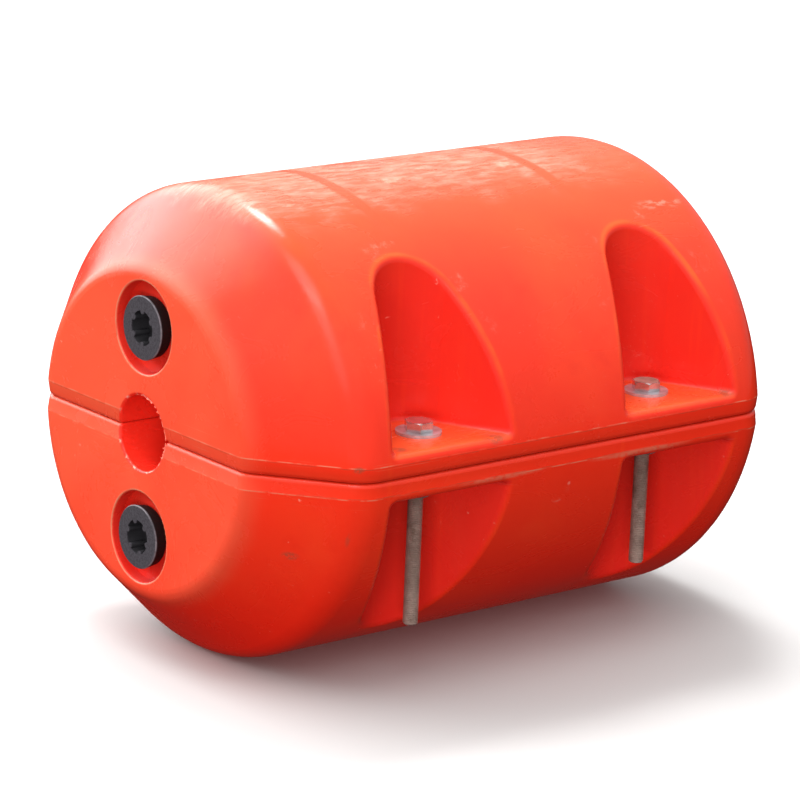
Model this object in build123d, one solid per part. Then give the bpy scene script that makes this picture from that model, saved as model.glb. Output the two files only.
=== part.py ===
from build123d import *
from math import atan2, cos, pi, radians, sin, sqrt, tan
import os

# A pipe float: two hollow moulded halves bolted together round a pipe.
# Sizes are in millimetres. The bore runs along X, the halves meet at Z = 0 and the filler plugs
# are on the -X end, which the names call near. The side at -Y is called front.

# Outline of each half
body_length = 700.0
half_height = 250.0
back_radius = 276.0
end_depth = 82.0
end_height = 172.0
end_half_width = 174.0
back_edge_radius = 42.0
end_edge_radius = 20.0
wall = 8.0

# Drafted rim where the halves meet
rim_height = 16.0
rim_inset = 3.0
rim_edge_radius = 5.0

# Pipe bore
bore_radius = 40.0
bore_edge_radius = 3.0

# Bolts from the edge of the end slope and from the side, and their pockets
bolt_end_distance = 112.0
bolt_side_distance = 60.8
pocket_radius = 45.0
pocket_flare = 26.0
pocket_draft = 2.0
ledge_height = 25.0
pocket_floor_radius = 6.0
pocket_edge_radius = 9.0

# Bolts, nuts and washers
bolt_radius = 8.0
near_bolt_length = 208.0
far_bolt_length = 193.0
bolt_tip_chamfer = 1.5
hex_across_flats = 27.0
hex_chamfer_angle = 30.0
head_height = 10.0
nut_height = 13.0
washer_radius = 24.0
washer_thickness = 3.0
washer_clearance = 0.75
bolt_hole_clearance = 1.0
thread_clearance = 0.15

# Filler plugs and their seats
plug_offset = 112.0
recess_radius = 48.5
recess_depth = 14.0
recess_edge_radius = 2.0
boss_depth = 26.0
plug_head_radius = 34.0
plug_head_thickness = 13.5
plug_head_taper = 9.0
plug_edge_chamfer = 1.2
plug_thread_radius = 25.0
plug_thread_length = 24.0
plug_clearance = 0.2
socket_radius = 18.4
socket_ridge_radius = 3.0
socket_ridge_reach = 14.6
socket_lobes = 6
socket_depth = 20.0
seal_radius = 30.0
seal_thickness = 2.5

# Places that follow from the sizes
centre_drop = back_radius - half_height
back_half_width = sqrt(back_radius**2 - centre_drop**2)
end_x = body_length / 2
back_x = end_x - end_depth
bolt_x = back_x - bolt_end_distance
bolt_y = back_half_width - bolt_side_distance
recess_floor_x = recess_depth - end_x
seal_face_x = recess_floor_x - seal_thickness
head_seat = ledge_height + washer_thickness
touch = 0.01


def width_at(z, half_width, height):
    # Half the width at z of an arc that stands on Z = 0.
    radius = (half_width**2 + height**2) / (2 * height)
    return sqrt(radius**2 - (z - height + radius) ** 2)


def outer_face(x, half_width, height):
    # The arched section of the outside across the bore at x.
    arc = ThreePointArc((x, -half_width, 0), (x, 0, height), (x, half_width, 0))
    return make_face([arc, Line(arc @ 1, arc @ 0)])


def inner_face(x, half_width, height):
    # The same section one wall further in, with its feet sloped as the rim is.
    knee = width_at(rim_height, half_width, height)
    foot = knee - rim_inset * (rim_height - wall) / rim_height
    arc = ThreePointArc((x, -knee, rim_height), (x, 0, height), (x, knee, rim_height))
    return make_face([arc, *Polyline(arc @ 1, (x, foot, wall), (x, -foot, wall), arc @ 0).edges()])


def arched_solid(section, inset):
    # The straight back with a slope down to each end, drawn in all round by the inset.
    slope = atan2(back_half_width - end_half_width, end_depth)
    end_inset = inset * tan((pi / 2 - slope) / 2)
    end = (end_x - inset, end_half_width - end_inset, end_height - end_inset)
    back = (back_x - inset * tan(slope / 2), back_half_width - inset, half_height - inset)
    stations = [(-end[0], *end[1:]), (-back[0], *back[1:]), back, end]
    return loft([section(*station) for station in stations], ruled=True)


def arcs_at(solid, x):
    # The arched edges of a solid at plus and minus x.
    arcs = solid.edges().filter_by(GeomType.CIRCLE)
    return [edge for edge in arcs if abs(abs(edge.center().X) - x) < touch]


def draft_rim(solid):
    # Slope the foot of the outside in towards the face where the halves meet.
    foot = solid.faces().sort_by(Axis.Z)[0]
    return chamfer(foot.edges(), length=rim_inset, length2=rim_height, reference=foot)


def outside():
    # The rounded outside of one half, before anything is cut into it.
    body = arched_solid(outer_face, 0)
    body = fillet(arcs_at(body, back_x), back_edge_radius)
    body = fillet(arcs_at(body, end_x), end_edge_radius)
    body = draft_rim(body)
    return fillet(body.faces().sort_by(Axis.Z)[0].edges(), rim_edge_radius)


def pocket_block(grow, base, floor_radius):
    # The space of a side pocket about its bolt: a round back with walls that flare outwards.
    radius = pocket_radius + grow
    flare = radians(pocket_flare)
    run = bolt_side_distance + 2 * radius
    back = ThreePointArc(
        (radius * cos(flare), radius * sin(flare)), (0, radius), (-radius * cos(flare), radius * sin(flare))
    )
    left = Line(back @ 1, back @ 1 + Vector(-sin(flare), -cos(flare)) * run)
    right = Line(back @ 0 + Vector(sin(flare), -cos(flare)) * run, back @ 0)
    plan = make_face([back, left, Line(left @ 1, right @ 0), right])
    block = extrude(plan, amount=half_height, taper=-pocket_draft)
    if floor_radius:
        foot = block.faces().sort_by(Axis.Z)[0].edges()
        block = fillet(foot.sort_by(Axis.Y)[1:], floor_radius)
    return Pos(0, 0, base) * block


def bolt_places():
    # Name, place and shank length of each bolt.
    for end, side_x, length in (("near", -1, near_bolt_length), ("far", 1, far_bolt_length)):
        for side, side_y in (("front", -1), ("back", 1)):
            yield f"{end}_{side}", side_x * bolt_x, side_y * bolt_y, length


def at_bolt(x, y, shape):
    # Turn a pocket shape so that it opens to its own side of the float.
    return Pos(x, y, 0) * Rot(0, 0, 0 if y < 0 else 180) * shape


def on_back(edge):
    middle = edge @ 0.5
    return abs(sqrt(middle.Y**2 + (middle.Z + centre_drop) ** 2) - back_radius) < touch


def cut_pockets(body):
    block = pocket_block(0, ledge_height, pocket_floor_radius)
    for name, x, y, length in bolt_places():
        tool = at_bolt(x, y, block)
        cut = body - tool
        mouth = [edge for edge in new_edges(body, tool, combined=cut) if on_back(edge)]
        body = fillet(mouth, pocket_edge_radius)
        body -= Pos(x, y, 0) * Cylinder(bolt_radius + bolt_hole_clearance, 3 * ledge_height)
    return body


def rod_x(radius, x_from, x_to, z=0.0):
    # A round bar along X.
    return Pos((x_from + x_to) / 2, 0, z) * Rot(0, 90, 0) * Cylinder(radius, x_to - x_from)


def cut_bore(body):
    bore = rod_x(bore_radius, -body_length, body_length)
    cut = body - bore
    mouth = [edge for edge in new_edges(body, bore, combined=cut) if edge.length < body_length / 2]
    return fillet(mouth, bore_edge_radius)


def cut_plug_seat(body):
    recess = rod_x(recess_radius, -body_length, recess_floor_x, plug_offset)
    cut = body - recess
    rim = [edge for edge in new_edges(body, recess, combined=cut) if abs(edge.center().X + end_x) < touch]
    body = fillet(rim, recess_edge_radius)
    return body - rod_x(plug_thread_radius + plug_clearance, -end_x, recess_floor_x + boss_depth, plug_offset)


def hollow():
    # The space inside one half, which leaves the wall round every pocket, the bore and the plug.
    space = arched_solid(inner_face, wall)
    block = pocket_block(wall, 0, 0)
    for name, x, y, length in bolt_places():
        space -= at_bolt(x, y, block)
    space -= rod_x(bore_radius + wall, -body_length, body_length)
    space -= rod_x(recess_radius + wall, -body_length, recess_floor_x + wall, plug_offset)
    return space - rod_x(plug_thread_radius + wall, -body_length, recess_floor_x + boss_depth, plug_offset)


def half_shell():
    return cut_plug_seat(cut_bore(cut_pockets(outside()))) - hollow()


def hex_block(height, both_ends):
    # A hexagonal prism on Z = 0 with its corners turned off at the top, or at both ends.
    corner = hex_across_flats / 2 / cos(pi / 6)
    drop = (corner - hex_across_flats / 2) * tan(radians(hex_chamfer_angle))
    prism = extrude(RegularPolygon(corner, 6), height)
    inner = hex_across_flats / 2
    foot = [(inner, 0), (corner, drop)] if both_ends else [(corner, 0)]
    profile = Polyline((0, 0), *foot, (corner, height - drop), (inner, height), (0, height), close=True)
    return prism & revolve(Plane.XZ * make_face(profile), Axis.Z)


def hex_bolt(length):
    shank = Pos(0, 0, -length / 2) * Cylinder(bolt_radius, length)
    shank = chamfer(shank.edges().sort_by(Axis.Z)[0], bolt_tip_chamfer)
    return hex_block(head_height, False) + shank


def hex_nut():
    return hex_block(nut_height, True) - Cylinder(bolt_radius + thread_clearance, 3 * nut_height)


def washer():
    ring = Circle(washer_radius) - Circle(bolt_radius + washer_clearance)
    return extrude(ring, washer_thickness)


def socket_face():
    # A round socket with ridges that the key pushes against.
    ridge = Circle(socket_ridge_radius)
    centre = socket_ridge_reach + socket_ridge_radius
    face = Circle(socket_radius)
    for turn in range(socket_lobes):
        face -= Rot(0, 0, turn * 360 / socket_lobes) * Pos(centre, 0) * ridge
    return face


def filler_plug():
    # Built upright on the seal face: head above, threaded shank below, socket from the top.
    base_radius = plug_head_radius - plug_head_thickness * tan(radians(plug_head_taper))
    head = Pos(0, 0, plug_head_thickness / 2) * Cone(base_radius, plug_head_radius, plug_head_thickness)
    head = chamfer(head.edges().sort_by(Axis.Z)[-1], plug_edge_chamfer)
    shank_length = plug_thread_length + seal_thickness
    shank = Pos(0, 0, -shank_length / 2) * Cylinder(plug_thread_radius, shank_length)
    socket = Pos(0, 0, plug_head_thickness - socket_depth) * extrude(socket_face(), 2 * socket_depth)
    return head + shank - socket


def plug_seal():
    ring = Circle(seal_radius) - Circle(plug_thread_radius + plug_clearance)
    return extrude(ring, -seal_thickness)


def in_seat(shape, turn):
    # Lay an upright plug shape into the seat on the near end.
    return Pos(seal_face_x, 0, plug_offset) * Rot(0, -90, 0) * Rot(0, 0, turn) * shape


def turned_over(shape):
    # The lower half is the upper half turned over about the bore.
    return Rot(180, 0, 0) * shape


def pieces():
    upper = half_shell()
    yield "upper_shell", upper
    yield "lower_shell", turned_over(upper)
    plug, seal = filler_plug(), plug_seal()
    yield "upper_filler_plug", in_seat(plug, 0)
    yield "upper_plug_seal", in_seat(seal, 0)
    yield "lower_filler_plug", turned_over(in_seat(plug, 15))
    yield "lower_plug_seal", turned_over(in_seat(seal, 15))
    nut, ring = hex_nut(), washer()
    for name, x, y, length in bolt_places():
        yield f"bolt_{name}", Pos(x, y, head_seat) * hex_bolt(length)
        yield f"head_washer_{name}", Pos(x, y, ledge_height) * ring
        yield f"nut_washer_{name}", Pos(x, y, -head_seat) * ring
        yield f"nut_{name}", Pos(x, y, -head_seat - nut_height) * nut


os.makedirs("parts", exist_ok=True)
for node, shape in pieces():
    export_step(shape, f"parts/{node}.step")
    print(node, round(shape.volume / 1000, 2), "cm3")
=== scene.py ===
from math import cos, pi, radians, sin, tan

import bmesh
import bpy
from mathutils import Matrix, Vector, noise


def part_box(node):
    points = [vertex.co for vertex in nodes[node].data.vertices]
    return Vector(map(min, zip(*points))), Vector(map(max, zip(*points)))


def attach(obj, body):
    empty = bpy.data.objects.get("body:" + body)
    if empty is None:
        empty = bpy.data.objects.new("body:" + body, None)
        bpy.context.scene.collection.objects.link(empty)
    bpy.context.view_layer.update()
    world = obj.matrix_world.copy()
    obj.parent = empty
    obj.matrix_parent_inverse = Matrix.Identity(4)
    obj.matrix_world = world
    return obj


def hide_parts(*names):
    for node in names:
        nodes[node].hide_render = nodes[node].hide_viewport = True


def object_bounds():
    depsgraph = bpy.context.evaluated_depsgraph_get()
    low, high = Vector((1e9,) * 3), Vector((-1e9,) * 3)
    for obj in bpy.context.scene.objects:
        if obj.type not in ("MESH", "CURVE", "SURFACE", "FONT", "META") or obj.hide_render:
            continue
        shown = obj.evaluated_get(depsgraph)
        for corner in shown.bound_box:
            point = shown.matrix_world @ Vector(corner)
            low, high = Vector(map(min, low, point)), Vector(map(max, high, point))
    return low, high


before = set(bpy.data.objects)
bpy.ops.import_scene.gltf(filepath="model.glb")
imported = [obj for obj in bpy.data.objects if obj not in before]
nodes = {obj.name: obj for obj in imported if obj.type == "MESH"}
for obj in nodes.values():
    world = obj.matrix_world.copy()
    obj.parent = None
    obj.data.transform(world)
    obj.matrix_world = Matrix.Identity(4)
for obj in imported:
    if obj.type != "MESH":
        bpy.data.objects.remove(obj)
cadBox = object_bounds()
boltPlaces = ("near_front", "near_back", "far_front", "far_back")
print("stage: frame loaded,", len(nodes), "nodes")


def socketOf(node, name):
    return next(socket for socket in node.inputs if socket.name == name and socket.enabled)


def feed(tree, socket, value):
    # Join a node's output to a socket, or set a plain value on it.
    if isinstance(value, bpy.types.NodeSocket):
        tree.links.new(value, socket)
    else:
        socket.default_value = value


def newMaterial(name):
    material = bpy.data.materials.new(name)
    material.use_nodes = True
    tree = material.node_tree
    shader = next(node for node in tree.nodes if node.type == "BSDF_PRINCIPLED")
    return material, tree, shader


def placeOf(tree):
    # The place of each surface point in metres, the same in every view.
    return tree.nodes.new("ShaderNodeTexCoord").outputs["Object"]


def scaled(tree, vector, scale, turn=(0, 0, 0), shift=(0, 0, 0)):
    mapping = tree.nodes.new("ShaderNodeMapping")
    tree.links.new(vector, mapping.inputs["Vector"])
    mapping.inputs["Location"].default_value = shift
    mapping.inputs["Rotation"].default_value = turn
    mapping.inputs["Scale"].default_value = scale
    return mapping.outputs["Vector"]


def cloud(tree, vector, scale, detail=4.0, roughness=0.55, distortion=0.0):
    texture = tree.nodes.new("ShaderNodeTexNoise")
    tree.links.new(vector, texture.inputs["Vector"])
    texture.inputs["Scale"].default_value = scale
    texture.inputs["Detail"].default_value = detail
    texture.inputs["Roughness"].default_value = roughness
    texture.inputs["Distortion"].default_value = distortion
    return texture.outputs["Fac"]


def calc(tree, operation, first, second=0.0, third=0.0):
    node = tree.nodes.new("ShaderNodeMath")
    node.operation = operation
    for socket, value in zip(node.inputs, (first, second, third)):
        feed(tree, socket, value)
    return node.outputs[0]


def between(tree, value, low, high, fromValue=0.0, toValue=1.0):
    # Spread the stretch from low to high smoothly over a new range, held at both ends.
    node = tree.nodes.new("ShaderNodeMapRange")
    node.interpolation_type = "SMOOTHSTEP"
    values = {"From Min": low, "From Max": high, "To Min": fromValue, "To Max": toValue}
    for name, number in values.items():
        node.inputs[name].default_value = number
    feed(tree, node.inputs["Value"], value)
    return node.outputs["Result"]


def blendColour(tree, factor, first, second):
    node = tree.nodes.new("ShaderNodeMix")
    node.data_type = "RGBA"
    feed(tree, socketOf(node, "Factor"), factor)
    feed(tree, socketOf(node, "A"), first)
    feed(tree, socketOf(node, "B"), second)
    return next(socket for socket in node.outputs if socket.enabled)


def axesOf(tree, vector):
    node = tree.nodes.new("ShaderNodeSeparateXYZ")
    tree.links.new(vector, node.inputs[0])
    return node.outputs[0], node.outputs[1], node.outputs[2]


def times(tree, first, second):
    return calc(tree, "MULTIPLY", first, second)


def plus(tree, first, second):
    return calc(tree, "ADD", first, second)


def minus(tree, first, second):
    return calc(tree, "SUBTRACT", first, second)


def larger(tree, first, second):
    return calc(tree, "MAXIMUM", first, second)


def without(tree, value, hidden):
    # The value, left out where the hidden one is full.
    return times(tree, value, minus(tree, 1.0, hidden))


def awayFrom(tree, first, second):
    # Distance from an axis, out of the two steps square to it.
    return calc(tree, "SQRT", plus(tree, times(tree, first, first), times(tree, second, second)))


def bumped(tree, shader, height, strength, distance):
    node = tree.nodes.new("ShaderNodeBump")
    node.inputs["Strength"].default_value = strength
    node.inputs["Distance"].default_value = distance
    feed(tree, node.inputs["Height"], height)
    tree.links.new(node.outputs["Normal"], shader.inputs["Normal"])


def bandAt(tree, value, centre, halfWidth, fade):
    # One inside the band about the centre, falling to nothing over the fade.
    away = calc(tree, "ABSOLUTE", minus(tree, value, centre))
    return between(tree, away, halfWidth, halfWidth + fade, 1.0, 0.0)


def patternOn(tree, place, pattern):
    # A cloudy pattern: the values of its noise, and the stretch of the noise that shows.
    noiseValues, stretch = pattern
    return between(tree, cloud(tree, place, *noiseValues), *stretch)


def spotAt(tree, place, centre, size, turn=0.0):
    # A soft spot about a point, as long and wide as the size says.
    moved = scaled(tree, place, (1, 1, 1), (0, 0, 0), tuple(-value for value in centre))
    shape = scaled(tree, moved, tuple(1 / value for value in size), (0, turn, 0))
    length = tree.nodes.new("ShaderNodeVectorMath")
    length.operation = "LENGTH"
    tree.links.new(shape, length.inputs[0])
    return between(tree, length.outputs["Value"], 0.25, 1.0, 1.0, 0.0)


# The side pockets, for the wear, the painted glow and the painted shade that follow their walls; lengths in
# metres, angles in degrees
pocketPlan = {
    "boltX": 0.156,
    "boltY": 0.21397,
    "radius": 0.045,
    "flare": 26.0,
    "draft": 2.0,
    "ledge": 0.025,
}


def pocketDistance(tree, x, y, height):
    # How far a point lies outside the nearest pocket's wall; below zero inside the pocket.
    flare = radians(pocketPlan["flare"])
    aside = calc(tree, "ABSOLUTE", minus(tree, calc(tree, "ABSOLUTE", x), pocketPlan["boltX"]))
    inward = minus(tree, pocketPlan["boltY"], calc(tree, "ABSOLUTE", y))
    straight = plus(tree, times(tree, aside, cos(flare)), times(tree, inward, sin(flare)))
    across = minus(tree, times(tree, inward, cos(flare)), times(tree, aside, sin(flare)))
    rounded = awayFrom(tree, aside, inward)
    atBack = calc(tree, "GREATER_THAN", across, 0.0)
    reach = plus(tree, straight, times(tree, atBack, minus(tree, rounded, straight)))
    lift = times(tree, minus(tree, height, pocketPlan["ledge"]), tan(radians(pocketPlan["draft"])))
    return minus(tree, minus(tree, reach, pocketPlan["radius"]), lift)


# Orange polyethylene of the two half shells, with places and lengths in metres
plastic = {
    "main": (0.88, 0.033, 0.011, 1),
    "deep": (0.80, 0.024, 0.009, 1),
    "warm": (0.92, 0.052, 0.014, 1),
    "sunlit": (0.94, 0.076, 0.013, 1),
    "faded": (0.81, 0.108, 0.050, 1),
    "rim": (0.66, 0.032, 0.011, 1),
    "inside": (0.77, 0.021, 0.015, 1),
    "bore": (0.89, 0.030, 0.015, 1),
    "underShade": (0.95, 0.015, 0.005, 1),
    "glow": (1.0, 0.11, 0.014, 1),
    "bloomAndSheen": (0.97, 0.36, 0.27, 1),
    "scuff": (0.98, 0.55, 0.42, 1),
    "tan": (0.66, 0.25, 0.15, 1),
    "dirt": (0.33, 0.075, 0.04, 1),
    "grime": (0.12, 0.018, 0.012, 1),
    "wornRoughness": 0.2,
    "burnish": 0.08,
    "specular": 0.31,
    "refraction": 1.5,
    "subsurface": 0.10,
    "subsurfaceRadius": (0.012, 0.0025, 0.001),
    "sunlitSway": 0.08,
    "shadedSway": 0.06,
    "bloomAndSheenSway": 0.050,
    "scratchWays": (((0.2, 0.3, 0.5), 0.72), ((1.1, 0.2, -0.6), 0.74)),
    "scratchFade": 0.08,
    "scratchStrength": 0.4,
    "flashStrength": 0.7,
    "underStrength": 0.45,
    "bump": (0.6, 0.004),
    "waveDepth": 0.45,
    "peelDepth": 0.025,
    "scratchDepth": 0.05,
    "hoopDepth": 0.12,
    "witnessHeight": 0.0165,
    "hoops": (-0.139, 0.117),
    "hoopWander": 0.02,
    "backEdge": 0.268,
    "boreRadius": 0.040,
    "recessRadius": 0.0485,
    "plugHeight": 0.112,
    "endX": -0.350,
    # Where the plastic changes: from and to in metres, and where given the strengths there
    "zones": {
        "sunlitUp": (0.18, 0.28, 0.0, 0.8),
        "sunlitAlong": (0.262, 0.285, 1.0, 0.0),
        "fadedEnd": (0.330, 0.352, 0.0, 0.8),
        "rimSide": (-0.001, 0.001, 0.4, 0.7),
        "farAlong": (-0.05, 0.3, 0.0, 0.55),
        "farUp": (0.12, 0.2, 1.0, 0.0),
        "shadedUp": (-0.18, -0.04, 0.9, 0.0),
        "hoopsUp": (0.20, 0.235),
        "bloomAndSheenUp": (0.250, 0.276),
        "bloomAndSheenAlong": (0.12, 0.22, 1.0, 0.2),
        "lipUp": (0.03, 0.16, 0.15, 1.0),
        "mouthUp": (0.08, 0.16),
        "seatAlong": (-0.34, -0.33, 1.0, 0.0),
        "joint": (0.0002, 0.0024, 0.2, 0.0),
        "pocketIn": (-0.002, 0.004, 1.0, 0.0),
        "ledgeTopIn": (-0.012, 0.0, 0.8, 0.3),
        "ledgeLipIn": (-0.004, 0.002, 0.55, 0.0),
        "flashIn": (-0.004, 0.004, 0.25, 1.0),
    },
    # Half width and fade of each band
    "bands": {
        "hoop": (0.005, 0.006),
        "ledgeTop": (0.0012, 0.002),
        "lip": (0.0006, 0.0032),
        "ledgeLip": (0.0014, 0.002),
        "mouth": (0.004, 0.008),
        "flash": (0.0002, 0.0007),
        "under": (0.0001, 0.0008),
        "nearRim": (0.008, 0.006),
        "burr": (0.0003, 0.0009),
        "nick": (0.0004, 0.0014),
        "burnish": (0.010, 0.016),
    },
    # Scale, detail, roughness and swirl
    "noises": {
        "drift": (5.0, 3.0, 0.5, 0.6),
        "mottle": (38.0, 5.0, 0.6),
        "wander": (6.0, 2.0),
        "topPatches": (1.0, 5.0, 0.62, 0.6),
        "streak": (1.0, 2.0, 0.5),
        "waves": (9.0, 2.0, 0.4),
        "peel": (300.0, 3.0, 0.6),
    },
    # The stretch of the drift or the mottle that shows, and its strengths
    "shown": {
        "warm": (0.42, 0.7),
        "deep": (0.5, 0.8, 0.0, 0.4),
        "faded": (0.25, 0.6, 0.6, 1.0),
        "mouth": (0.35, 0.6),
    },
    # The scale, detail, roughness and swirl of a noise, then the stretch that shows and its strengths
    "patterns": {
        "draw": ((1.0, 3.0), (0.5, 0.75, 0.0, 0.22)),
        "lip": ((16.0, 3.0), (0.38, 0.64, 0.1, 0.75)),
        "ledgeLip": ((12.0, 3.0), (0.3, 0.62, 0.3, 1.0)),
        "brushed": ((1.0, 7.0, 0.75, 0.5), (0.38, 0.68, 0.05, 0.64)),
        "scratched": ((9.0, 3.0), (0.5, 0.66)),
        "fine": ((220.0, 6.0, 0.75), (0.58, 0.72)),
        "rubbed": ((7.0, 4.0, 0.6), (0.56, 0.7, 0.0, 0.3)),
        "mouth": ((26.0, 6.0, 0.75), (0.54, 0.7, 0.0, 0.22)),
        "scraped": ((1.0, 4.0, 0.6), (0.48, 0.6)),
        "broken": ((60.0, 4.0), (0.38, 0.62)),
        "fineLines": ((1.0, 2.0), (0.62, 0.72)),
        "nearRim": ((11.0, 3.0), (0.5, 0.62, 0.0, 0.45)),
        "dirt": ((110.0, 5.0, 0.7), (0.32, 0.54)),
        "burr": ((70.0, 4.0), (0.3, 0.6, 0.3, 0.8)),
        "nick": ((130.0, 4.0, 0.7), (0.5, 0.62, 0.0, 0.8)),
        "smear": ((1.6, 5.0, 0.65, 0.8), (0.35, 0.7, 0.19, 0.34)),
    },
    # How the long patterns are squeezed along X, Y and Z
    "stretches": {
        "draw": (150.0, 150.0, 5.0),
        "brushed": (30.0, 130.0, 60.0),
        "topPatches": (13.0, 18.0, 0.0),
        "scratches": (9.0, 160.0, 120.0),
        "scraped": (60.0, 60.0, 260.0),
        "fineLines": (4.0, 4.0, 700.0),
        "smear": (4.0, 9.0, 9.0),
    },
    # Marks that the photo shows on the shells: centre, half lengths, turn in degrees, strength
    "marks": {
        "crusts": (
            ((-0.0937, -0.2724, -0.0175), (0.070, 0.010, 0.0040), 0, 0.42),
            ((0.0989, -0.2721, -0.0180), (0.085, 0.010, 0.0045), 0, 0.52),
        ),
        "smudges": (
            ((-0.3078, -0.2037, -0.0845), (0.012, 0.012, 0.006), 25, 0.80),
            ((-0.2740, -0.2538, -0.0618), (0.003, 0.006, 0.013), 20, 0.38),
            ((-0.2729, -0.2655, 0.0150), (0.008, 0.008, 0.0045), 0, 0.85),
            ((-0.2120, -0.2540, 0.0230), (0.013, 0.013, 0.008), 0, 0.80),
            ((-0.0988, -0.2650, 0.0230), (0.018, 0.014, 0.008), -8, 0.80),
            ((0.2257, -0.2620, 0.0250), (0.016, 0.014, 0.008), -8, 0.70),
        ),
        "scrapes": (
            ((0.0049, -0.2669, -0.0442), (0.003, 0.010, 0.012), 25, 0.32),
            ((-0.0074, -0.2631, -0.0574), (0.009, 0.009, 0.003), 30, 0.30),
            ((0.0895, -0.0437, 0.2464), (0.014, 0.030, 0.010), 30, 0.30),
            ((-0.0689, -0.0441, 0.2464), (0.050, 0.012, 0.010), 12, 0.30),
            ((0.2266, -0.1435, 0.2097), (0.045, 0.012, 0.010), 10, 0.25),
        ),
    },
}
zones, bands, noises, shown = plastic["zones"], plastic["bands"], plastic["noises"], plastic["shown"]
patterns, stretches = plastic["patterns"], plastic["stretches"]


def hoopsOn(tree, place, x, z):
    # Smooth hoops across the top, where the mould has no texture.
    wander = times(tree, minus(tree, cloud(tree, place, *noises["wander"]), 0.5), plastic["hoopWander"])
    moved = plus(tree, x, wander)
    hoops = [bandAt(tree, moved, hoopX, *bands["hoop"]) for hoopX in plastic["hoops"]]
    return times(tree, larger(tree, *hoops), between(tree, z, *zones["hoopsUp"]))


def bodyColour(tree, place, x, z, height):
    # Cloudy resin, with painted light above, faded at the ends, with painted shade at the rims and a deeper
    # red painted shade below.
    drift = cloud(tree, place, *noises["drift"])
    mottle = cloud(tree, place, *noises["mottle"])
    colour = blendColour(tree, between(tree, drift, *shown["warm"]), plastic["main"], plastic["warm"])
    colour = blendColour(tree, between(tree, mottle, *shown["deep"]), colour, plastic["deep"])
    along = calc(tree, "ABSOLUTE", x)
    # Painted light: the top is a lighter, yellower orange
    highUp = between(tree, plus(tree, z, times(tree, drift, plastic["sunlitSway"])), *zones["sunlitUp"])
    highUp = times(tree, highUp, between(tree, along, *zones["sunlitAlong"]))
    colour = blendColour(tree, highUp, colour, plastic["sunlit"])
    atEnd = between(tree, along, *zones["fadedEnd"])
    patchyEnd = times(tree, atEnd, between(tree, drift, *shown["faded"]))
    colour = blendColour(tree, patchyEnd, colour, plastic["faded"])
    # Painted shade: the band between the joint and the flash line is darker, most on the upper half
    rimShade = between(tree, height, 0.003, plastic["witnessHeight"] + 0.001, 1.0, 0.0)
    rimShade = times(tree, rimShade, between(tree, z, *zones["rimSide"]))
    colour = blendColour(tree, without(tree, rimShade, atEnd), colour, plastic["rim"])
    # The far end has faded less than the near end, and the deeper red below is painted shade
    farther = times(tree, between(tree, x, *zones["farAlong"]), between(tree, z, *zones["farUp"]))
    colour = blendColour(tree, farther, colour, plastic["deep"])
    # Painted shade: the underside is a deeper red
    shaded = between(tree, plus(tree, z, times(tree, drift, plastic["shadedSway"])), *zones["shadedUp"])
    return blendColour(tree, without(tree, shaded, atEnd), colour, plastic["underShade"])


def insideColour(tree, place, z, height, fromWall, fromBore, colour):
    # Deeper red inside the pockets and the bore, as painted shade in the pockets, with faint upright draw
    # marks.
    ledge = pocketPlan["ledge"]
    inPocket = between(tree, fromWall, *zones["pocketIn"])
    inPocket = times(tree, inPocket, between(tree, height, ledge - 0.003, ledge, 0.0, 1.0))
    inBore = between(tree, fromBore, plastic["boreRadius"] + 0.001, plastic["boreRadius"] + 0.004, 1.0, 0.0)
    # Painted shade: the pockets' walls and floors are a darker red
    colour = blendColour(tree, inPocket, colour, plastic["inside"])
    colour = blendColour(tree, inBore, colour, plastic["bore"])
    ledgeTop = bandAt(tree, z, ledge, *bands["ledgeTop"])
    ledgeTop = times(tree, ledgeTop, between(tree, fromWall, *zones["ledgeTopIn"]))
    colour = blendColour(tree, times(tree, ledgeTop, inPocket), colour, plastic["faded"])
    draw = patternOn(tree, scaled(tree, place, stretches["draw"]), patterns["draw"])
    colour = blendColour(tree, times(tree, draw, inPocket), colour, plastic["warm"])
    # Painted glow along the thin lips of the upper pockets, where light shines through them
    lip = bandAt(tree, fromWall, 0.0040, *bands["lip"])
    lip = times(tree, lip, patternOn(tree, place, patterns["lip"]))
    lip = times(tree, lip, between(tree, z, *zones["lipUp"]))
    # Painted highlight along the rounded front edge of each ledge
    ledgeLip = bandAt(tree, z, ledge - 0.0015, *bands["ledgeLip"])
    ledgeLip = times(tree, ledgeLip, between(tree, fromWall, *zones["ledgeLipIn"]))
    ledgeLip = times(tree, ledgeLip, patternOn(tree, place, patterns["ledgeLip"]))
    return blendColour(tree, larger(tree, lip, ledgeLip), colour, plastic["glow"])


def bloomAndSheenOn(tree, place, x, z, hoops):
    # Pale bloom of fine scuffs on the top with a painted sheen, left out along the hoops.
    brushed = patternOn(tree, scaled(tree, place, stretches["brushed"], (0, 0, 0.5)), patterns["brushed"])
    patches = cloud(tree, scaled(tree, place, stretches["topPatches"]), *noises["topPatches"])
    onTop = between(tree, plus(tree, z, times(tree, patches, plastic["bloomAndSheenSway"])), *zones["bloomAndSheenUp"])
    bloomAndSheen = times(tree, times(tree, onTop, brushed), between(tree, x, *zones["bloomAndSheenAlong"]))
    return without(tree, bloomAndSheen, hoops)


def scratchesOn(tree, place):
    # Scratches in two directions, in patches.
    ways = []
    for turn, cut in plastic["scratchWays"]:
        streak = cloud(tree, scaled(tree, place, stretches["scratches"], turn), *noises["streak"])
        patch = patternOn(tree, place, patterns["scratched"])
        ways.append(times(tree, between(tree, streak, cut, cut + plastic["scratchFade"]), patch))
    return larger(tree, *ways)


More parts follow.
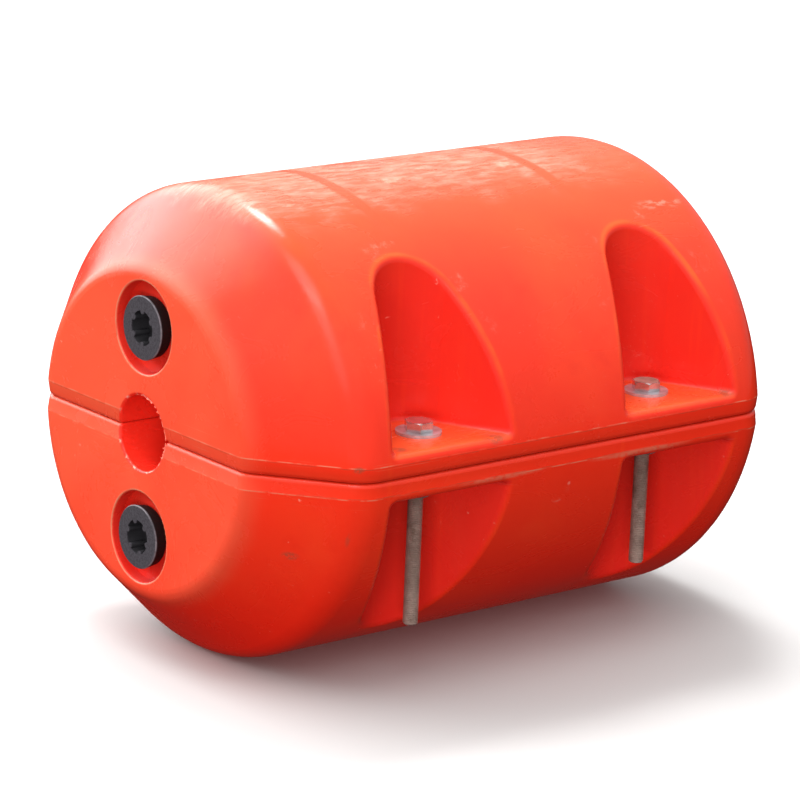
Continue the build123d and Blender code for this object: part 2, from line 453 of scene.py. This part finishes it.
def wearOn(tree, place, z, fromWall, scratches):
    # Scratches, rubbed patches, the rubbed mouths of the pockets and the scrapes.
    rubbed = times(tree, patternOn(tree, place, patterns["fine"]), patternOn(tree, place, patterns["rubbed"]))
    mouth = bandAt(tree, fromWall, 0.014, *bands["mouth"])
    mouth = times(tree, mouth, patternOn(tree, place, patterns["mouth"]))
    mouth = times(tree, mouth, between(tree, z, *zones["mouthUp"]))
    mottle = cloud(tree, place, *noises["mottle"])
    mouth = times(tree, mouth, between(tree, mottle, *shown["mouth"]))
    wear = larger(tree, times(tree, scratches, plastic["scratchStrength"]), larger(tree, rubbed, mouth))
    for centre, size, turn, strength in plastic["marks"]["scrapes"]:
        spot = times(tree, spotAt(tree, place, centre, size, radians(turn)), strength)
        turned = scaled(tree, place, stretches["scraped"], (0, radians(turn), 0))
        wear = larger(tree, wear, times(tree, spot, patternOn(tree, turned, patterns["scraped"])))
    return wear


def rimColour(tree, place, height, fromWall, outsideBore, colour):
    # The thin flash line along each rim, with dirt caught in it, and fine lines beside it.
    witness = plastic["witnessHeight"]
    broken = patternOn(tree, place, patterns["broken"])
    flash = times(tree, bandAt(tree, height, witness, *bands["flash"]), broken)
    flash = times(tree, flash, between(tree, fromWall, *zones["flashIn"]))
    fineLines = patternOn(tree, scaled(tree, place, stretches["fineLines"]), patterns["fineLines"])
    fineLines = times(tree, fineLines, bandAt(tree, height, 0.019, *bands["nearRim"]))
    fineLines = times(tree, fineLines, patternOn(tree, place, patterns["nearRim"]))
    lines = times(tree, larger(tree, times(tree, flash, plastic["flashStrength"]), fineLines), outsideBore)
    colour = blendColour(tree, lines, colour, plastic["tan"])
    under = without(tree, bandAt(tree, height, witness - 0.0012, *bands["under"]), broken)
    under = times(tree, times(tree, under, outsideBore), plastic["underStrength"])
    return blendColour(tree, under, colour, plastic["dirt"])


def dirtColour(tree, place, height, outsideBore, colour):
    # Crusts and smudges of dirt, and the dark in the joint.
    patchy = patternOn(tree, place, patterns["dirt"])
    for kind, tone in (("crusts", "tan"), ("smudges", "dirt")):
        for centre, size, turn, strength in plastic["marks"][kind]:
            spot = times(tree, spotAt(tree, place, centre, size, radians(turn)), strength)
            colour = blendColour(tree, times(tree, spot, patchy), colour, plastic[tone])
    joint = times(tree, between(tree, height, *zones["joint"]), outsideBore)
    return blendColour(tree, joint, colour, plastic["grime"])


def endColour(tree, place, x, y, height, fromBore, colour):
    # Plug seats in the darker red of painted shade, with a pale burr round them, and pale nicks round the
    # bore, on the end face only.
    seat = plastic["recessRadius"]
    fromPlug = awayFrom(tree, y, minus(tree, height, plastic["plugHeight"]))
    onEnd = between(tree, x, plastic["endX"] + 0.0005, plastic["endX"] + 0.003, 1.0, 0.0)
    inSeat = between(tree, fromPlug, seat - 0.0005, seat + 0.001, 1.0, 0.0)
    inSeat = times(tree, inSeat, between(tree, x, *zones["seatAlong"]))
    # Painted shade in the plug seats
    colour = blendColour(tree, inSeat, colour, plastic["inside"])
    burr = times(tree, bandAt(tree, fromPlug, seat + 0.0015, *bands["burr"]), onEnd)
    burr = times(tree, burr, patternOn(tree, place, patterns["burr"]))
    colour = blendColour(tree, burr, colour, plastic["tan"])
    nick = times(tree, bandAt(tree, fromBore, plastic["boreRadius"] + 0.0015, *bands["nick"]), onEnd)
    nick = times(tree, nick, patternOn(tree, place, patterns["nick"]))
    return blendColour(tree, nick, colour, plastic["scuff"])


def orangePlastic():
    material, tree, shader = newMaterial("orange_polyethylene")
    place = placeOf(tree)
    x, y, z = axesOf(tree, place)
    height = calc(tree, "ABSOLUTE", z)
    fromWall = pocketDistance(tree, x, y, height)
    fromBore = awayFrom(tree, y, z)
    outsideBore = between(tree, fromBore, plastic["boreRadius"] + 0.0005, plastic["boreRadius"] + 0.002)
    hoops = hoopsOn(tree, place, x, z)
    bloomAndSheen = bloomAndSheenOn(tree, place, x, z, hoops)
    scratches = scratchesOn(tree, place)
    wear = wearOn(tree, place, z, fromWall, scratches)
    colour = bodyColour(tree, place, x, z, height)
    colour = insideColour(tree, place, z, height, fromWall, fromBore, colour)
    # Scuffs and painted sheen on the top
    colour = blendColour(tree, bloomAndSheen, colour, plastic["bloomAndSheen"])
    colour = blendColour(tree, wear, colour, plastic["scuff"])
    colour = rimColour(tree, place, height, fromWall, outsideBore, colour)
    colour = dirtColour(tree, place, height, outsideBore, colour)
    colour = endColour(tree, place, x, y, height, fromBore, colour)
    feed(tree, shader.inputs["Base Color"], colour)
    dull = patternOn(tree, scaled(tree, place, stretches["smear"]), patterns["smear"])
    dull = plus(tree, dull, times(tree, larger(tree, wear, bloomAndSheen), plastic["wornRoughness"]))
    # The rounded edge behind the slope is burnished
    burnished = bandAt(tree, calc(tree, "ABSOLUTE", x), plastic["backEdge"], *bands["burnish"])
    dull = minus(tree, dull, times(tree, burnished, plastic["burnish"]))
    feed(tree, shader.inputs["Roughness"], dull)
    shader.inputs["Subsurface Weight"].default_value = plastic["subsurface"]
    shader.inputs["Subsurface Radius"].default_value = plastic["subsurfaceRadius"]
    shader.inputs["Subsurface Scale"].default_value = 1.0
    shader.inputs["Specular IOR Level"].default_value = plastic["specular"]
    shader.inputs["IOR"].default_value = plastic["refraction"]
    waves = times(tree, cloud(tree, place, *noises["waves"]), plastic["waveDepth"])
    peel = times(tree, cloud(tree, place, *noises["peel"]), plastic["peelDepth"])
    relief = minus(tree, plus(tree, waves, peel), times(tree, scratches, plastic["scratchDepth"]))
    relief = minus(tree, relief, times(tree, hoops, plastic["hoopDepth"]))
    bumped(tree, shader, relief, *plastic["bump"])
    return material


# Charcoal plastic of the filler plugs
plugLook = {
    "face": (0.058, 0.054, 0.064, 1),
    "side": (0.008, 0.007, 0.007, 1),
    "socket": (0.026, 0.025, 0.028, 1),
    "edge": (0.24, 0.22, 0.24, 1),
    "socketRadius": 0.020,
    "rimRadius": 0.0335,
    "grain": (420.0, 5.0, 0.7),
    "edgeWear": ((90.0, 4.0), (0.35, 0.6, 0.2, 0.8)),
    "edgeBand": (0.0002, 0.0008),
    "roughness": (0.5, 0.72),
    "specular": 0.18,
    "bump": (0.35, 0.0006),
}


def charcoalPlastic():
    material, tree, shader = newMaterial("black_plastic")
    place = placeOf(tree)
    x, y, z = axesOf(tree, place)
    rise = minus(tree, calc(tree, "ABSOLUTE", z), plastic["plugHeight"])
    radius = awayFrom(tree, y, rise)
    grain = cloud(tree, place, *plugLook["grain"])
    colour = blendColour(tree, between(tree, grain, 0.4, 0.65, 0.0, 0.5), plugLook["face"], plugLook["side"])
    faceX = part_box("upper_filler_plug")[0].x
    deep = between(tree, x, faceX + 0.0005, faceX + 0.0025)
    colour = blendColour(tree, deep, colour, plugLook["side"])
    inSocket = between(tree, radius, plugLook["socketRadius"], plugLook["socketRadius"] + 0.002, 1.0, 0.0)
    colour = blendColour(tree, times(tree, deep, inSocket), colour, plugLook["socket"])
    # A worn, paler edge round the face
    edge = without(tree, bandAt(tree, radius, plugLook["rimRadius"], *plugLook["edgeBand"]), deep)
    edge = times(tree, edge, patternOn(tree, place, plugLook["edgeWear"]))
    colour = blendColour(tree, edge, colour, plugLook["edge"])
    feed(tree, shader.inputs["Base Color"], colour)
    feed(tree, shader.inputs["Roughness"], between(tree, grain, 0.3, 0.7, *plugLook["roughness"]))
    shader.inputs["Specular IOR Level"].default_value = plugLook["specular"]
    bumped(tree, shader, grain, *plugLook["bump"])
    return material


# Rubber of the seal rings
rubberLook = {
    "dark": (0.010, 0.010, 0.010, 1),
    "pale": (0.030, 0.029, 0.028, 1),
    "grain": (260.0, 4.0),
    "roughness": (0.6, 0.8),
    "bump": (0.3, 0.0004),
}


def sealRubber():
    material, tree, shader = newMaterial("black_rubber")
    grain = cloud(tree, placeOf(tree), *rubberLook["grain"])
    feed(tree, shader.inputs["Base Color"], blendColour(tree, grain, rubberLook["dark"], rubberLook["pale"]))
    feed(tree, shader.inputs["Roughness"], between(tree, grain, 0.3, 0.7, *rubberLook["roughness"]))
    bumped(tree, shader, grain, *rubberLook["bump"])
    return material


# Zinc plated steel: what all its finishes share, and what each makes of it
steelLook = {
    "bright": (0.72, 0.70, 0.69),
    "dull": (0.50, 0.47, 0.45),
    "stain": (0.22, 0.15, 0.11, 1),
    "blotch": ((70.0, 5.0, 0.65), (0.35, 0.65)),
    "fleck": (260.0, 3.0, 0.6),
    "rust": (45.0, 6.0, 0.7),
    "stainFade": 0.15,
    "stainStrength": 0.75,
    "bumpDepth": 0.0003,
}
steelFinishes = {
    "washer_steel": {
        "tint": (0.90, 0.93, 1.02),
        "stainFrom": 0.70,
        "metallic": 0.62,
        "roughness": (0.32, 0.44),
        "relief": 0.03,
    },
    "zinc_steel": {
        "tint": (1.02, 1.03, 1.08),
        "stainFrom": 0.70,
        "metallic": 0.88,
        "roughness": (0.12, 0.18),
        "relief": 0.0,
    },
    "threaded_steel": {
        "tint": (0.70, 0.54, 0.47),
        "stainFrom": 0.52,
        "metallic": 0.45,
        "roughness": (0.45, 0.6),
        "relief": 0.2,
    },
}


def tinted(colour, tint):
    return tuple(channel * share for channel, share in zip(colour, tint)) + (1,)


def zincSteel(name):
    material, tree, shader = newMaterial(name)
    finish = steelFinishes[name]
    place = placeOf(tree)
    blotch = patternOn(tree, place, steelLook["blotch"])
    fleck = cloud(tree, place, *steelLook["fleck"])
    dull, bright = tinted(steelLook["dull"], finish["tint"]), tinted(steelLook["bright"], finish["tint"])
    colour = blendColour(tree, blotch, dull, bright)
    rust = cloud(tree, place, *steelLook["rust"])
    stainTo = finish["stainFrom"] + steelLook["stainFade"]
    stain = between(tree, rust, finish["stainFrom"], stainTo, 0.0, steelLook["stainStrength"])
    colour = blendColour(tree, stain, colour, steelLook["stain"])
    feed(tree, shader.inputs["Base Color"], colour)
    shader.inputs["Metallic"].default_value = finish["metallic"]
    feed(tree, shader.inputs["Roughness"], between(tree, fleck, 0.3, 0.7, *finish["roughness"]))
    bumped(tree, shader, fleck, finish["relief"], steelLook["bumpDepth"])
    return material


shellPlastic = orangePlastic()
plugPlastic = charcoalPlastic()
rubber = sealRubber()
washerSteel = zincSteel("washer_steel")
headSteel = zincSteel("zinc_steel")
rodSteel = zincSteel("threaded_steel")
print("stage: materials made")


def dress(node, material):
    slots = nodes[node].data.materials
    slots.clear()
    slots.append(material)


for half in ("upper", "lower"):
    dress(f"{half}_shell", shellPlastic)
    dress(f"{half}_filler_plug", plugPlastic)
    dress(f"{half}_plug_seal", rubber)
for place in boltPlaces:
    dress(f"head_washer_{place}", washerSteel)
    dress(f"nut_washer_{place}", washerSteel)
    dress(f"nut_{place}", headSteel)
    dress(f"bolt_{place}", headSteel)


def addPiece(name, mesh, materials):
    piece = bpy.data.objects.new(name, mesh)
    bpy.context.scene.collection.objects.link(piece)
    for material in materials:
        mesh.materials.append(material)
    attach(piece, "root")
    return piece


# Bolts with a cut thread; the head keeps the form of the solid
thread = {
    "pitch": 0.002,
    "depth": 0.0011,
    "flanks": (0.38, 0.56, 0.94),  # where a turn has risen, falls and ends, as shares of the pitch
    "segments": 28,
    "tipChamfer": 0.0015,
    "headBevel": 0.00035,
    "headHeight": 0.010,
    "radius": 0.008,
    "weld": 1e-6,
    "flatAngle": 2,  # degrees
    "sharpAngle": 20,
}


def threadedRod(mesh, centre, top, tip):
    # A helical ridge wound down from top to tip, closed at both ends.
    pitch, segments = thread["pitch"], thread["segments"]
    crest, root = thread["radius"], thread["radius"] - thread["depth"]
    rise, fall, end = thread["flanks"]
    profile = ((0.0, root), (rise, crest), (fall, crest), (end, root))
    turns = int((top - tip) / pitch) + 3
    rows = []
    for step in range(turns * segments):
        angle = 2 * pi * step / segments
        drop = pitch * (step / segments - 1)
        row = []
        for share, radius in profile:
            low = top - drop - share * pitch
            reach = min(radius, crest - thread["tipChamfer"] + max(low - tip, 0.0))
            row.append(mesh.verts.new((centre.x + reach * cos(angle), centre.y + reach * sin(angle), low)))
        rows.append(row)
    last = len(profile) - 1
    for step in range(len(rows) - 1):
        here, after = rows[step], rows[step + 1]
        for part in range(last):
            mesh.faces.new((here[part], here[part + 1], after[part + 1], after[part]))
        below = step + segments
        if below + 1 < len(rows):
            mesh.faces.new((here[last], rows[below][0], rows[below + 1][0], after[last]))
    for height, clearUp in ((top, True), (tip, False)):
        geometry = mesh.verts[:] + mesh.edges[:] + mesh.faces[:]
        cut = bmesh.ops.bisect_plane(mesh, geom=geometry, plane_co=(0, 0, height), plane_no=(0, 0, 1),
                                     clear_outer=clearUp, clear_inner=not clearUp)
        rim = [item for item in cut["geom_cut"] if isinstance(item, bmesh.types.BMEdge)]
        bmesh.ops.edgeloop_fill(mesh, edges=rim)


def cutHead(node, seat):
    # The head of a bolt's solid, with its edges a little rounded.
    mesh = bmesh.new()
    mesh.from_mesh(nodes[node].data)
    bmesh.ops.remove_doubles(mesh, verts=mesh.verts, dist=thread["weld"])
    geometry = mesh.verts[:] + mesh.edges[:] + mesh.faces[:]
    cut = bmesh.ops.bisect_plane(mesh, geom=geometry, plane_co=(0, 0, seat + 1e-5), plane_no=(0, 0, 1),
                                 clear_inner=True)
    rim = [item for item in cut["geom_cut"] if isinstance(item, bmesh.types.BMEdge)]
    bmesh.ops.edgeloop_fill(mesh, edges=rim)
    flat = radians(thread["flatAngle"])
    bmesh.ops.dissolve_limit(mesh, angle_limit=flat, verts=mesh.verts, edges=mesh.edges)
    shared = [edge for edge in mesh.edges if len(edge.link_faces) == 2]
    sharp = [edge for edge in shared if edge.calc_face_angle() > radians(thread["sharpAngle"])]
    bmesh.ops.bevel(mesh, geom=sharp, offset=thread["headBevel"], segments=2, affect="EDGES", profile=0.6)
    return mesh


def makeBolt(place):
    node = f"bolt_{place}"
    low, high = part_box(node)
    centre = (low + high) / 2
    seat = high.z - thread["headHeight"]
    mesh = cutHead(node, seat)
    for face in mesh.faces:
        face.material_index = 0
    headFaces = len(mesh.faces)
    rod = bmesh.new()
    threadedRod(rod, centre, seat, low.z)
    rodMesh = bpy.data.meshes.new("rod")
    rod.to_mesh(rodMesh)
    rod.free()
    mesh.from_mesh(rodMesh)
    bpy.data.meshes.remove(rodMesh)
    mesh.faces.ensure_lookup_table()
    for face in mesh.faces[headFaces:]:
        face.material_index = 1
    bmesh.ops.recalc_face_normals(mesh, faces=mesh.faces)
    data = bpy.data.meshes.new(f"threaded_{node}")
    mesh.to_mesh(data)
    mesh.free()
    piece = addPiece(f"threaded_{node}", data, (headSteel, rodSteel))
    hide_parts(node)


for place in boltPlaces:
    makeBolt(place)
print("stage: bolts threaded")


# Torn burrs left along the near edge of the bore, where the photo shows them
burrLook = {
    "steps": 150,
    "ragged": (0.28, 0.95, 0.5),  # the mean, and the shares of the coarse and the fine noise
    "least": 0.04,
    "noiseSteps": (0.11, 0.47),
    "endTaper": 6,
    "wallX": -0.3476,
    "thickness": 0.0006,
    "rootRadius": 0.0409,
    "wallRadius": 0.0400,
    "reach": 0.0026,
    "lean": 0.55,
    "spans": {"upper": (2.0, 112.0), "lower": (-52.0, -2.0)},  # degrees about the bore
    "grain": (420.0, 5.0, 0.7),
    "colour": (0.95, 0.10, 0.05, 1),
    "pale": (0.98, 0.34, 0.24, 1),
    "roughness": (0.35, 0.6),
    "subsurfaceRadius": (0.002, 0.0006, 0.0003),
    "bump": (0.3, 0.0003),
}


def tornPlastic():
    material, tree, shader = newMaterial("torn_polyethylene")
    grain = cloud(tree, placeOf(tree), *burrLook["grain"])
    colour = blendColour(tree, between(tree, grain, 0.4, 0.62), burrLook["colour"], burrLook["pale"])
    feed(tree, shader.inputs["Base Color"], colour)
    feed(tree, shader.inputs["Roughness"], between(tree, grain, 0.3, 0.7, *burrLook["roughness"]))
    shader.inputs["Subsurface Weight"].default_value = plastic["subsurface"]
    shader.inputs["Subsurface Radius"].default_value = burrLook["subsurfaceRadius"]
    bumped(tree, shader, grain, *burrLook["bump"])
    return material


def makeBurr(half, start, stop, material):
    # A thin ragged lip that leans out of the bore; its root is in the shell's wall.
    rows, mesh = [], bmesh.new()
    mean, coarseShare, fineShare = burrLook["ragged"]
    coarseStep, fineStep = burrLook["noiseSteps"]
    wallX, back = burrLook["wallX"], burrLook["thickness"]
    for step in range(burrLook["steps"] + 1):
        share = step / burrLook["steps"]
        angle = radians(start + (stop - start) * share)
        coarse = noise.noise(Vector((step * coarseStep, start, 3.7)))
        fine = noise.noise(Vector((step * fineStep, stop, 8.1)))
        ragged = max(burrLook["least"], mean + coarseShare * coarse + fineShare * fine)
        taper = min(1.0, burrLook["endTaper"] * share, burrLook["endTaper"] * (1 - share))
        reach = burrLook["reach"] * ragged * taper
        tipX, tipRadius = wallX - burrLook["lean"] * reach, burrLook["wallRadius"] - reach
        corners = ((tipX, tipRadius), (tipX + 0.5 * back, tipRadius),
                   (wallX + back, burrLook["rootRadius"]), (wallX, burrLook["rootRadius"]))
        rows.append([mesh.verts.new((x, -radius * cos(angle), radius * sin(angle))) for x, radius in corners])
    for here, there in zip(rows, rows[1:]):
        for side in range(4):
            ahead = (side + 1) % 4
            mesh.faces.new((here[side], here[ahead], there[ahead], there[side]))
    mesh.faces.new(rows[0])
    mesh.faces.new(rows[-1][::-1])
    bmesh.ops.recalc_face_normals(mesh, faces=mesh.faces)
    data = bpy.data.meshes.new(f"bore_burr_{half}")
    mesh.to_mesh(data)
    mesh.free()
    addPiece(f"bore_burr_{half}", data, (material,))


torn = tornPlastic()
for half, (start, stop) in burrLook["spans"].items():
    makeBurr(half, start, stop, torn)
print("stage: burrs added")


# Floor, light and camera; azimuths turn from the front and elevations rise from level, in degrees
studio = {
    "floorSize": 400.0,
    "floorColour": (0.56, 0.56, 0.555, 1),
    "floorDrift": 0.985,
    "floorNoise": (3.0, 4.0),
    "floorRoughness": 0.8,
    "skyColour": (1.0, 1.0, 1.0, 1),
    "groundColour": (1.0, 0.36, 0.30, 1),
    "ground": 0.10,
    "horizon": 0.46,
    "zenith": 1.15,
    "groundEdge": (-0.06, -0.004),
    "zenithEdge": (0.05, 0.85),
    "rightward": -0.22,
    # Azimuth, elevation, outer and inner angle, brightness
    "brightPlaces": (
        (-168, 37, 50, 10, 4.8),
        (154, 62, 10, 3, 30.0),
        (-42, 38, 17, 6, 0.9),
        (-49, 57, 17, 6, 1.6),
        (-58, 72, 18, 6, 3.2),
    ),
    "frontFill": {"azimuth": -45, "elevation": 3, "distance": 8.0, "size": (5.0, 1.4), "power": 310},
    "azimuth": -39.30,
    "elevation": 15.30,
    "roll": 2.389,
    "distance": 4.2907,
    "sideStep": -0.00583,
    "upStep": -0.01304,
    "lens": 177.88,
    "sensorWidth": 36.0,
    "clip": (0.1, 1000.0),
}


def pointing(azimuth, elevation):
    # The way that leads to a place in the sky, turned from the front and raised from level.
    turn, rise = radians(azimuth), radians(elevation)
    return Vector((sin(turn) * cos(rise), -cos(turn) * cos(rise), sin(rise)))


def makeFloor():
    mesh = bpy.data.meshes.new("floor")
    half = studio["floorSize"] / 2
    corners = ((-half, -half), (half, -half), (half, half), (-half, half))
    mesh.from_pydata([(x, y, cadBox[0].z) for x, y in corners], [], [(0, 1, 2, 3)])
    floor = bpy.data.objects.new("floor", mesh)
    bpy.context.scene.collection.objects.link(floor)
    material, tree, shader = newMaterial("pale_floor")
    tone = cloud(tree, placeOf(tree), *studio["floorNoise"])
    pale = studio["floorColour"]
    darker = tinted(pale, (studio["floorDrift"],) * 3)
    feed(tree, shader.inputs["Base Color"], blendColour(tree, tone, pale, darker))
    shader.inputs["Roughness"].default_value = studio["floorRoughness"]
    mesh.materials.append(material)
    # The object's underside and mirror images see the dim ground of the sky, not the lit floor
    floor.visible_diffuse = False
    floor.visible_glossy = False


def softLight(name, azimuth, elevation, distance, size, power):
    # A broad lamp that looks at the object's middle; it leaves no mirror image and is out of sight.
    data = bpy.data.lights.new(name, "AREA")
    data.shape = "RECTANGLE"
    data.size, data.size_y = size
    data.energy = power
    lamp = bpy.data.objects.new(name, data)
    bpy.context.scene.collection.objects.link(lamp)
    back = pointing(azimuth, elevation)
    lamp.location = back * distance
    lamp.rotation_euler = (-back).to_track_quat("-Z", "Y").to_euler()
    lamp.visible_glossy = False
    lamp.visible_camera = False


def makeCamera():
    turn, roll = radians(studio["azimuth"]), radians(studio["roll"])
    back = pointing(studio["azimuth"], studio["elevation"])
    level = Vector((cos(turn), sin(turn), 0))
    upright = back.cross(level)
    right = cos(roll) * level + sin(roll) * upright
    up = -sin(roll) * level + cos(roll) * upright
    data = bpy.data.cameras.new("camera")
    data.lens = studio["lens"]
    data.sensor_width = studio["sensorWidth"]
    data.clip_start, data.clip_end = studio["clip"]
    camera = bpy.data.objects.new("camera", data)
    bpy.context.scene.collection.objects.link(camera)
    place = back * studio["distance"] + right * studio["sideStep"] + up * studio["upStep"]
    axes = Matrix((right, up, back)).transposed()
    camera.matrix_world = Matrix.Translation(place) @ axes.to_4x4()
    bpy.context.scene.camera = camera


def makeSky():
    # A sky that is dim at the horizon and bright above, with brighter places, and a dim red ground.
    world = bpy.data.worlds.new("sky")
    world.use_nodes = True
    tree = world.node_tree
    background = next(node for node in tree.nodes if node.type == "BACKGROUND")
    direction = tree.nodes.new("ShaderNodeTexCoord").outputs["Generated"]
    x, rise = axesOf(tree, direction)[::2]
    aboveGround = between(tree, rise, *studio["groundEdge"])
    level = between(tree, rise, *studio["groundEdge"], studio["ground"], studio["horizon"])
    high = between(tree, rise, *studio["zenithEdge"], 0.0, studio["zenith"] - studio["horizon"])
    level = plus(tree, level, high)
    level = times(tree, level, plus(tree, 1.0, times(tree, x, studio["rightward"])))
    for azimuth, elevation, outer, inner, brightness in studio["brightPlaces"]:
        towards = tree.nodes.new("ShaderNodeVectorMath")
        towards.operation = "DOT_PRODUCT"
        tree.links.new(direction, towards.inputs[0])
        towards.inputs[1].default_value = pointing(azimuth, elevation)
        edge, middle = cos(radians(outer)), cos(radians(inner))
        bright = between(tree, towards.outputs["Value"], edge, middle, 0.0, brightness)
        level = plus(tree, level, bright)
    feed(tree, background.inputs["Strength"], level)
    colour = blendColour(tree, aboveGround, studio["groundColour"], studio["skyColour"])
    feed(tree, background.inputs["Color"], colour)
    bpy.context.scene.world = world


makeFloor()
makeSky()
softLight("front_fill", **studio["frontFill"])
makeCamera()
bpy.context.scene.view_settings.view_transform = "Standard"
bpy.context.scene.view_settings.look = "None"
print("stage: floor, light and camera set")
